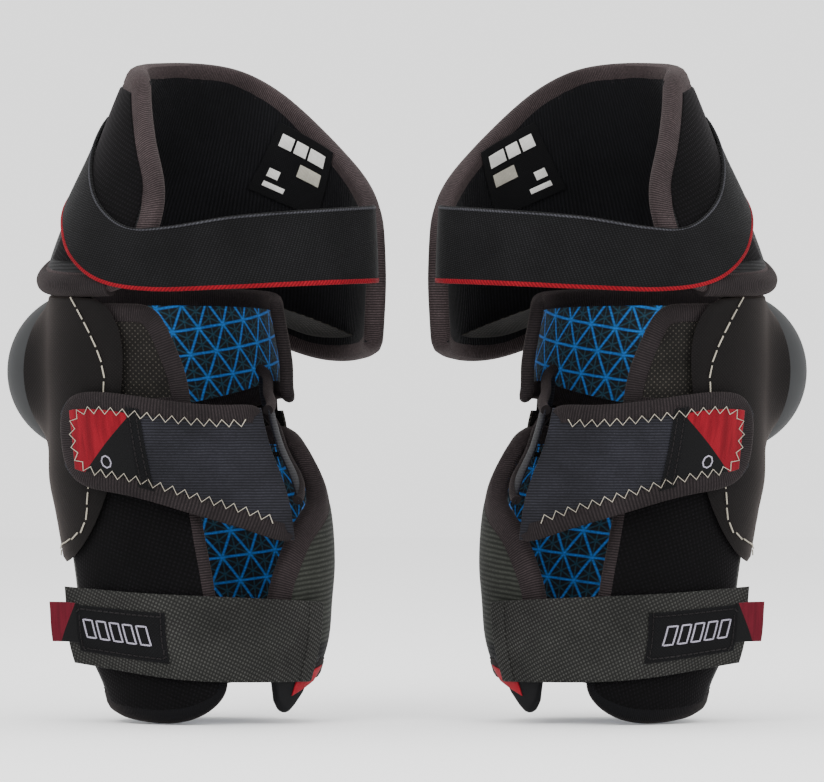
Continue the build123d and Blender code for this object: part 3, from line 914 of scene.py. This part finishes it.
# %% Elbow strap
pair("mid_strap_elastic", panel_slab(ELBOW_STRAP, 10.0, 12.0, 3.0, (50, 16), 0.8), ribbed_elastic,
     "elbow_strap", "elastic_webbing", ["elbow_strap_band"])
pair("mid_strap_tape", edge_tape(ELBOW_STRAP, 10.0, 12.0, 10.2, 22, 0.6, 0.15, lambda angle: angle < 310.5),
     knit_tape, "elbow_strap", "edge_binding")
pair("mid_strap_print", panel_slab(ELBOW_STRAP, 12.1, 12.9, part=((0.605, 0.912), (0.18, 0.82)),
     count=(24, 14), soft=0.7), end_print, "elbow_strap", "printed_patch", ["elbow_strap_tab"])
pair("mid_strap_seam", panel_slab(ELBOW_STRAP, 12.0, 13.1, part=((0.565, 0.625), (0.11, 0.88)),
     count=(4, 14), soft=0.7), patch_cloth, "elbow_strap", "edge_binding")
pair("mid_strap_hooks", panel_slab(ELBOW_STRAP, 8.9, 9.7, part=((0.72, 0.95), (0.14, 0.86)), count=(12, 8),
     soft=0.5), hook_tape, "elbow_strap", "hook_tape", ["elbow_strap_hook"])
root_panel = Panel(LOWER_ARM, LOWER_REACH, [(0, 30)], [(0, -42)],
                   [(0, -32), (0.4, -48), (1, -84)], [(0, -6), (0.5, -16), (1, -29)], 80)
ROOT_RUN = [(0, -12.5), (0.62, -12.5), (1, 4.0)]
pair("mid_strap_root", slab(lambda u, v, off: root_panel.spot(u, v, smooth(ROOT_RUN, u) + off), (80, 35),
     -1, 1, (20, 10), 0.8, flat=root_panel.flat), ribbed_elastic, "forearm", "elastic_webbing",
     ["elbow_strap_anchor"])
for edge_name, across in (("lower", 0.03), ("upper", 0.97)):
    hem = [root_panel.spot(k / 40, across, smooth(ROOT_RUN, k / 40)) for k in range(41)]
    pair(f"mid_strap_root_{edge_name}_hem", tube(hem, 3.0, 12), knit_tape, "forearm", "edge_binding")

# %% [markdown]
# ## Forearm strap
# The lowest strap is coarse webbing 48 mm wide. It goes round the guard and then straight off
# it, to a sewn patch and a two-coloured pull tab. The path is a turn followed by a
# tangent, so the webbing never kinks where it leaves the guard.

# %% Forearm strap
STRAP_TOP = [(0, -141), (0.3, -138), (0.7, -135), (1, -132)]
STRAP_TALL = [(0, 46), (0.5, 49), (1, 44)]
LEAVES_AT, LEAVES_ANGLE = 0.72, 238     # where the strap runs off the guard


def webbing_spot(u, down, off):
    """Point on the strap: u along it, down from its top edge to its bottom edge."""
    height = smooth(STRAP_TOP, u) - down * smooth(STRAP_TALL, u)
    if u <= LEAVES_AT:
        return arm_point(LOWER_ARM, height, 332 - 94 * u / LEAVES_AT, off)
    leaves = Vector(arm_point(LOWER_ARM, height, LEAVES_ANGLE, off))
    back = Vector(arm_point(LOWER_ARM, height, LEAVES_ANGLE + 1, off))
    return tuple(leaves + (leaves - back).normalized() * (42 * (u - LEAVES_AT) / (1 - LEAVES_AT)))


def webbing_slab(u_range, down_range, low, high, count, soft=0.7):
    (a, b), (c, d) = u_range, down_range
    size = (150 * (b - a), 47 * (d - c))
    return slab(lambda u, v, off: webbing_spot(a + u * (b - a), d + v * (c - d), off), size, low, high, count,
                soft, flat=lambda u, v: (0.15 * (a + u * (b - a)), 0.047 * (d + v * (c - d))))


pair("fore_strap_webbing", webbing_slab((0, 1), (0, 1), 2.8, 4.8, (48, 12)), webbing_weave, "forearm_strap",
     "strap_webbing", ["forearm_strap_webbing"])
pair("fore_strap_patch", webbing_slab((0.6, 0.955), (0.22, 0.82), 4.9, 5.9, (16, 8)), patch_cloth,
     "forearm_strap", "printed_patch", ["forearm_strap_patch"])
pair("fore_strap_pull", webbing_slab((0.95, 1.065), (0.2, 0.72), 5.0, 6.2, (8, 6)), pull_print,
     "forearm_strap", "pull_tab", ["forearm_strap_pull"])
pair("fore_strap_sewn_end", webbing_slab((0.0, 0.075), (0.01, 0.99), 4.7, 5.5, (4, 12)), webbing_weave,
     "forearm_strap", "strap_webbing")
pair("fore_strap_hooks", webbing_slab((0.66, 0.93), (0.12, 0.88), 1.7, 2.6, (10, 8)), hook_tape,
     "forearm_strap", "hook_tape", ["forearm_strap_hook"])

# %% [markdown]
# ## Label and woven marks
# A square care label is sewn inside the upper cuff. The marks here are plain bars and outlines
# that stand for nobody: thin cords laid flat on the cloth. They are real geometry, so they keep
# their crisp edges up close.

# %% Label and marks
LABEL_WIDE, LABEL_TALL = 50.0, 42.0


def label_spot(u, v, off):
    across, up, tilt = LABEL_WIDE * (u - 0.5), LABEL_TALL * (v - 0.5), math.radians(-22)
    along = across * math.cos(tilt) - up * math.sin(tilt)
    rise = across * math.sin(tilt) + up * math.cos(tilt)
    return arm_point(UPPER_ARM, 110 + rise, 61 - math.degrees(along / 78), off)


pair("care_label", slab(label_spot, (LABEL_WIDE, LABEL_TALL), -11.9, -11.2, (8, 8), 0.5), patch_cloth,
     "bicep", "woven_label", ["bicep_label"])


def bar_skins(spot, bars, radius, flat_off, closed=True):
    """One skin of several outlines, each a list of (u, v) corners."""
    total = Skin()
    for bar in bars:
        corners = [Vector((u, v)) for u, v in bar]
        ring = []
        for a, b in zip(corners, corners[1:] + corners[:1] if closed else corners[1:]):
            ring += [a.lerp(b, k / 6) for k in range(6)]
        made = tube([spot(p.x, p.y, flat_off) for p in ring], radius, 6, closed, (1, 0.5))
        base = len(total.points)
        total.points += made.points
        total.faces += [[base + c for c in f] for f in made.faces]
        total.flat += made.flat
        total.share += made.share
    return total


def bar(u0, v0, wide, high):
    """Filled bar printed on the label."""
    return slab(lambda u, v, off: label_spot(u0 + u * wide, v0 + v * high, off),
                (LABEL_WIDE * wide, LABEL_TALL * high), -12.3, -11.8, (4, 2), 0.2)


for number, spot in enumerate(((0.12, 0.70, 0.2, 0.18), (0.36, 0.70, 0.2, 0.18), (0.60, 0.70, 0.28, 0.18),
                               (0.14, 0.26, 0.16, 0.12), (0.14, 0.12, 0.3, 0.07))):
    pair(f"care_label_bar_{number + 1}", bar(*spot), label_white, "bicep", "woven_label")
pair("care_label_box", bar(0.52, 0.42, 0.36, 0.18), label_grey, "bicep", "woven_label")
patch_bars = [[(0.655 + 0.055 * k, 0.62), (0.668 + 0.055 * k, 0.40), (0.705 + 0.055 * k, 0.40),
               (0.692 + 0.055 * k, 0.62)] for k in range(5)]
pair("fore_strap_marks", bar_skins(webbing_spot, patch_bars, 0.5, 6.0), mark_print, "forearm_strap",
     "printed_patch")
ring_marks = [[(0.745 + 0.022 * math.cos(math.tau * k / 8), 0.30 + 0.06 * math.sin(math.tau * k / 8))
               for k in range(8)]]
pair("mid_strap_mark", bar_skins(ELBOW_STRAP.spot, ring_marks, 0.4, 13.0), mark_print, "elbow_strap",
     "printed_patch")

# %% [markdown]
# ## Stitches with Geometry Nodes
# Stitches repeat along a path, which is work for Geometry Nodes. Both trees resample the path
# and wrap thread round a curve. In the first, every other point swings to the other side: a
# zigzag. The second lays short straight threads with gaps. Sizes are named inputs of each tree,
# and the result is made a plain mesh.

# %% Stitch trees
def stitch_tree(name, material, size_name, share, shape):
    """Tree that resamples a path at a share of the pitch, then lays on it the threads shape() makes."""
    tree = bpy.data.node_groups.new(name, "GeometryNodeTree")
    tree.interface.new_socket("Geometry", in_out="INPUT", socket_type="NodeSocketGeometry")
    for title in ("Pitch", size_name, "Thread radius"):
        tree.interface.new_socket(title, in_out="INPUT", socket_type="NodeSocketFloat")
    tree.interface.new_socket("Geometry", in_out="OUTPUT", socket_type="NodeSocketGeometry")
    given = add(tree, "NodeGroupInput").outputs
    curve = add(tree, "GeometryNodeMeshToCurve", {"Mesh": given["Geometry"]})
    steps = add(tree, "GeometryNodeResampleCurve", {"Curve": curve.outputs[0],
                "Length": maths(tree, "MULTIPLY", given["Pitch"], share)}, mode="LENGTH")
    circle = add(tree, "GeometryNodeCurvePrimitiveCircle", {"Resolution": 6,
                 "Radius": given["Thread radius"]}, mode="RADIUS")

    def thread(path):
        return add(tree, "GeometryNodeCurveToMesh", {"Curve": path, "Profile Curve": circle.outputs[0],
                   "Fill Caps": True}).outputs[0]
    real = add(tree, "GeometryNodeRealizeInstances",
               {"Geometry": shape(tree, given[size_name], steps.outputs[0], thread)})
    dressed = add(tree, "GeometryNodeSetMaterial", {"Geometry": real.outputs[0], "Material": material})
    add(tree, "NodeGroupOutput", {"Geometry": dressed.outputs[0]})
    return tree


def swung(tree, swing, steps, thread):
    """One thread whose every other point is pushed to the other side."""
    odd = maths(tree, "MODULO", add(tree, "GeometryNodeInputIndex").outputs[0], 2.0)
    reach = maths(tree, "MULTIPLY", maths(tree, "MULTIPLY_ADD", odd, 2.0, -1.0), swing)
    side = add(tree, "GeometryNodeInputNamedAttribute", {"Name": "side"}, data_type="FLOAT_VECTOR")
    move = add(tree, "ShaderNodeVectorMath", {0: side.outputs["Attribute"], 3: reach}, operation="SCALE")
    return thread(add(tree, "GeometryNodeSetPosition", {"Geometry": steps,
                      "Offset": move.outputs["Vector"]}).outputs[0])


def dashed(tree, length, steps, thread):
    """A short straight thread at every step, turned along the path."""
    run = add(tree, "GeometryNodeInputTangent").outputs[0]
    turn = add(tree, "FunctionNodeAlignRotationToVector", {"Vector": run}, axis="X")
    reach = add(tree, "ShaderNodeCombineXYZ", {"X": length})
    line = add(tree, "GeometryNodeCurvePrimitiveLine", {"End": reach.outputs[0]})
    return add(tree, "GeometryNodeInstanceOnPoints", {"Points": steps, "Instance": thread(line.outputs[0]),
               "Rotation": turn.outputs["Rotation"]}).outputs[0]


zigzag = stitch_tree("zigzag_stitch", thread_white, "Swing", 0.5, swung)
white_row, dark_row = (stitch_tree("straight_stitch", thread, "Stitch length", 1.0, dashed)
                       for thread in (thread_white, thread_dark))
print("stitch trees:", zigzag.name, white_row.name, dark_row.name)

# %% [markdown]
# ## Sewing
# A row of stitches needs a path and, at each point of it, the direction sideways on the cloth. Both
# are kept in a bare line of points that exists only until the stitches are made.

# %% Sew rows of stitches
def sew(name, path, tree, sizes, body, slot="edge_binding", sides=()):
    """Stitches along a path on both pads; sizes are in millimetres, by the tree's input names."""
    for side, sign in SIDES:
        mesh = bpy.data.meshes.new("seam")
        mesh.from_pydata(on_pad(path, sign), [(k, k + 1) for k in range(len(path) - 1)], [])
        if sides:
            across = mesh.attributes.new("side", "FLOAT_VECTOR", "POINT")
            across.data.foreach_set("vector", [c for s in sides for c in (s[0] * sign, s[1], s[2])])
        seam = bpy.data.objects.new("seam", mesh)
        bpy.context.scene.collection.objects.link(seam)
        maker = seam.modifiers.new("stitches", "NODES")
        maker.node_group = tree
        for item in tree.interface.items_tree:
            if item.in_out == "INPUT" and item.name in sizes:
                maker[item.identifier] = sizes[item.name] / 1000
        bpy.context.view_layer.update()
        done = seam.evaluated_get(bpy.context.evaluated_depsgraph_get())
        made = bpy.data.meshes.new_from_object(done)
        bpy.data.objects.remove(seam)
        made.name = f"{side}_{name}"
        made.shade_smooth()
        obj = bpy.data.objects.new(made.name, made)
        bpy.context.scene.collection.objects.link(obj)
        attach(obj, side, body, slot=slot)
    print(name, "-", len(made.polygons), "faces a side")


def inner_line(panel, rounds, inward_by, off, keep):
    """The panel's outline drawn in by a distance, where keep(angle) holds, and the way sideways."""
    flat_path, inward = outline(panel, rounds)
    line = [p + n * inward_by for p, n in zip(flat_path, inward)]
    run = kept_run(panel, line, keep)
    path = [Vector(on_arm(panel, line[k], off)) for k in run]
    sides = [(Vector(on_arm(panel, line[k] + inward[k], off)) - p).normalized() for k, p in zip(run, path)]
    return path, sides


zig_path, zig_sides = inner_line(ELBOW_STRAP, 22, 10.4, 13.1, lambda angle: angle < 302)
sew("mid_strap_zigzag", zig_path, zigzag, {"Pitch": 7.2, "Swing": 2.1, "Thread radius": 0.32},
    "elbow_strap", sides=zig_sides)
# Each row is a height and a distance across, in millimetres.
SEAM_LINE = [(34, -52.5), (18.5, -44), (1, -36), (-13, -33), (-22, -34.6), (-50, -39), (-78, -43),
             (-91.6, -44), (-100, -48), (-109, -60), (-112, -68)]
run_path = []
for height in range(34, -113, -2):
    centre, half, _, _ = hole(LOWER_ARM, height)
    aside = (smooth(SEAM_LINE, height) - centre) / (half + 5.5)
    run_path.append(arm_point(LOWER_ARM, height, 360 - math.degrees(math.acos(max(aside, -1))), 6.5))
sew("collar_stitches", run_path, white_row,
    {"Pitch": 9.0, "Stitch length": 7.2, "Thread radius": 0.45}, "elbow")
box_shares = ([(0.615 + 0.325 * k / 30, 0.27) for k in range(31)]
              + [(0.94, 0.27 + 0.5 * k / 10) for k in range(11)]
              + [(0.94 - 0.325 * k / 30, 0.77) for k in range(31)]
              + [(0.615, 0.77 - 0.5 * k / 10) for k in range(11)])
sew("fore_strap_stitches", [webbing_spot(u, down, 6.1) for u, down in box_shares], dark_row,
    {"Pitch": 3.6, "Stitch length": 2.7, "Thread radius": 0.35}, "forearm_strap", "printed_patch")
for count, u in enumerate((0.58, 0.61)):
    seam_path = [ELBOW_STRAP.spot(u, 0.14 + 0.72 * k / 20, 13.2) for k in range(21)]
    sew(f"mid_strap_seam_stitches_{count + 1}", seam_path, dark_row,
        {"Pitch": 3.2, "Stitch length": 2.4, "Thread radius": 0.4}, "elbow_strap")

# %% [markdown]
# ## Floor and light
# The pads stand on a plain pale floor. They are nearly black, so they are lit by large soft
# panels from both sides: broad light brings out ribs and sheen and leaves no hard shadow.

# %% Floor and lights
floor_height = min(corner[2] for corner in frame_box) - 0.0005
floor = mesh_object("floor", [(-4, -4, floor_height), (4, -4, floor_height), (4, 4, floor_height),
                              (-4, 4, floor_height)], [[0, 1, 2, 3]])
paper, paper_tree = new_material("pale_backdrop_paper")
paper_grain = noise(paper_tree, add(paper_tree, "ShaderNodeTexCoord").outputs["Object"], 0.375, 2.0)
feed(paper_tree.nodes["Principled BSDF"],
     {"Base Color": mix(paper_tree, paper_grain, ink("#f6f6f6"), ink("#fcfcfc")), "Roughness": 1.0})
floor.data.materials.append(paper)

world = bpy.data.worlds.new("studio")
bpy.context.scene.world = world
world.use_nodes = True
feed(world.node_tree.nodes["Background"], {"Color": ink("#ffffff"), "Strength": 1.8})


def soft_light(name, place, aim, size, power):
    lamp = bpy.data.objects.new(name, bpy.data.lights.new(name, "AREA"))
    lamp.data.shape = "RECTANGLE"
    lamp.data.size, lamp.data.size_y = size
    lamp.data.energy = power
    lamp.location = place
    lamp.rotation_euler = (Vector(aim) - Vector(place)).to_track_quat("-Z", "Y").to_euler()
    bpy.context.scene.collection.objects.link(lamp)
    print("light", name, power, "W")


soft_light("key_panel", (-1.3, -1.6, 1.3), (0, 0, 0), (1.4, 1.4), 30)
soft_light("fill_panel", (1.5, -1.5, 0.7), (0, 0, 0), (1.2, 1.6), 22)
soft_light("top_panel", (0.0, 0.4, 1.8), (0, 0, 0), (1.6, 1.2), 18)

# %% Sizes and finish
print("frame", frame_box)
